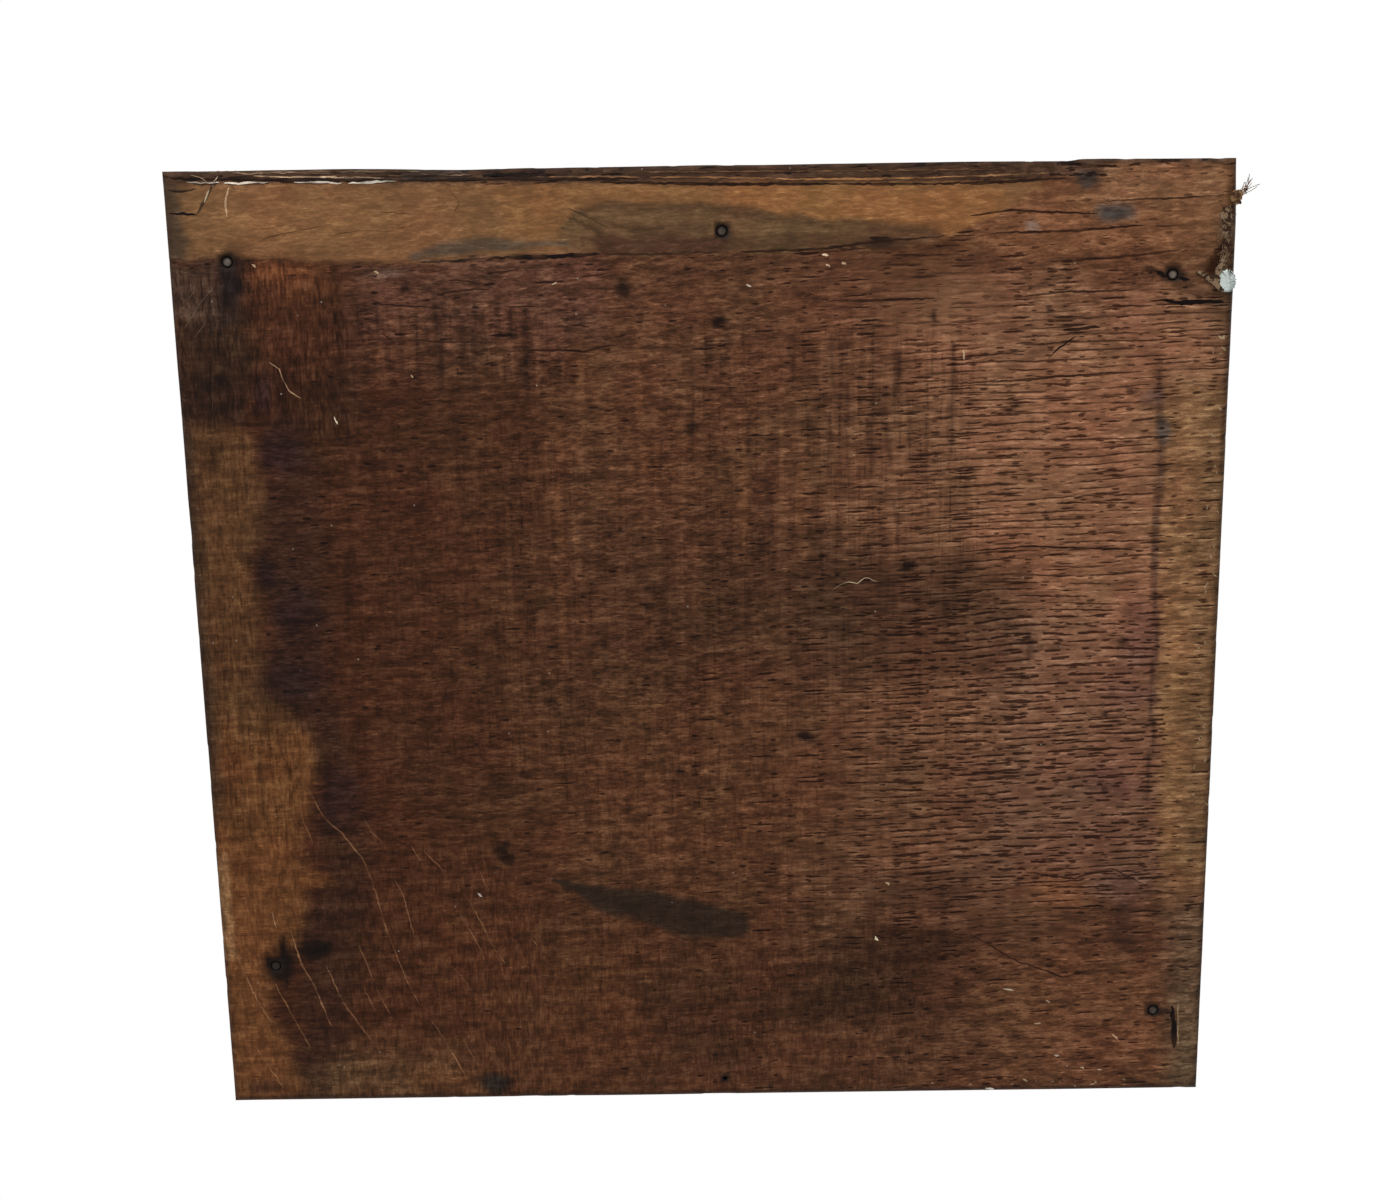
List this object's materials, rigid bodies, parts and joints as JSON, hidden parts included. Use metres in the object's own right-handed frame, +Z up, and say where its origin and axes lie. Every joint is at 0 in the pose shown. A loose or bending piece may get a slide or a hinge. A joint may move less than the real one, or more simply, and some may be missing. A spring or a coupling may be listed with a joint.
{
  "type": "writing slope",
  "caption": "Antique oak table-top writing slope: a dovetailed box with a hinged sloping lid, fixed ledge, small drawers, pigeonholes, pen tray and lock.",
  "frame": {"origin": "middle of the underside of the base board", "axes": "+X along the width to the right of someone who writes at it, +Y from the front edge to the back, +Z up"},
  "size_m": [0.38, 0.353, 0.1546],
  "materials": {
    "base_oak": "old unpolished oak, dark with grime and handling, open pores",
    "carcass_oak": "old waxed oak, dark in the pores",
    "lid_oak": "old waxed oak, rubbed lighter in the middle",
    "inner_oak": "dry unpolished oak",
    "iron": "hand-cut iron, grey and pitted",
    "brass": "aged brass, brown in the hollows",
    "steel": "dull steel",
    "glass": "thick clear glass, faintly green",
    "fruitwood": "turned and polished fruitwood"
  },
  "bodies": {
    "carcass": {"base_board": "base_oak", "base_nails": "iron", "front_board": "carcass_oak", "back_board": "carcass_oak", "left_side": "carcass_oak", "right_side": "carcass_oak", "top_ledge": "carcass_oak", "ledge_nails": "iron", "left_hinge_ledge_leaf": "brass", "right_hinge_ledge_leaf": "brass", "hinge_pins": "steel", "ledge_hinge_screws": "brass", "lock_case": "brass", "lock_cap": "brass", "lock_screws": "brass", "escutcheon": "brass", "escutcheon_pins": "brass", "nest_shelf": "inner_oak", "drawer_divider": "inner_oak", "pigeonhole_divider_left": "inner_oak", "pigeonhole_divider_middle": "inner_oak", "pigeonhole_divider_right": "inner_oak", "pen_tray": "inner_oak", "ink_partition": "inner_oak", "ink_divider_front": "inner_oak", "ink_divider_middle": "inner_oak", "ink_divider_rear": "inner_oak"},
    "lid": {"lid_panel": "lid_oak", "lid_cleat_left": "lid_oak", "lid_cleat_right": "lid_oak", "book_rest": "lid_oak", "book_rest_pins": "iron", "left_hinge_lid_leaf": "brass", "right_hinge_lid_leaf": "brass", "lid_hinge_screws": "brass", "staple_plate": "brass", "staple_screws": "brass"},
    "lock_bolt": {"lock_bolt": "steel"},
    "left_drawer": {"left_drawer_front": "carcass_oak", "left_drawer_side_a": "inner_oak", "left_drawer_side_b": "inner_oak", "left_drawer_back": "inner_oak", "left_drawer_bottom": "inner_oak", "left_drawer_knob": "brass"},
    "right_drawer": {"right_drawer_front": "carcass_oak", "right_drawer_side_a": "inner_oak", "right_drawer_side_b": "inner_oak", "right_drawer_back": "inner_oak", "right_drawer_bottom": "inner_oak", "right_drawer_knob": "brass"},
    "inkwell": {"inkwell_glass": "glass", "inkwell_collar": "brass", "inkwell_pin": "steel"},
    "inkwell_cap": {"inkwell_cap": "brass"},
    "pounce_pot": {"pounce_pot": "fruitwood"}
  },
  "joints": [
    {"name": "lid_hinge", "type": "hinge", "parent": "carcass", "child": "lid", "pos_m": [0, 0.0965, 0.152], "axis": [-1, 0, 0], "range_deg": [0, 164]},
    {"name": "left_drawer_slide", "type": "slide", "parent": "carcass", "child": "left_drawer", "axis": [0, -1, 0], "range_m": [0, 0.045]},
    {"name": "right_drawer_slide", "type": "slide", "parent": "carcass", "child": "right_drawer", "axis": [0, -1, 0], "range_m": [0, 0.045]},
    {"name": "bolt_slide", "type": "slide", "parent": "carcass", "child": "lock_bolt", "axis": [1, 0, 0], "range_m": [0, 0.007]},
    {"name": "inkwell_lift", "type": "slide", "parent": "carcass", "child": "inkwell", "axis": [0, 0, 1], "range_m": [0, 0.019]},
    {"name": "inkwell_cap_hinge", "type": "hinge", "parent": "inkwell", "child": "inkwell_cap", "pos_m": [0.1405, 0.02745, 0.05155], "axis": [-1, 0, 0], "range_deg": [0, 100]},
    {"name": "pounce_pot_lift", "type": "slide", "parent": "carcass", "child": "pounce_pot", "axis": [0, 0, 1], "range_m": [0, 0.019]}
  ]
}
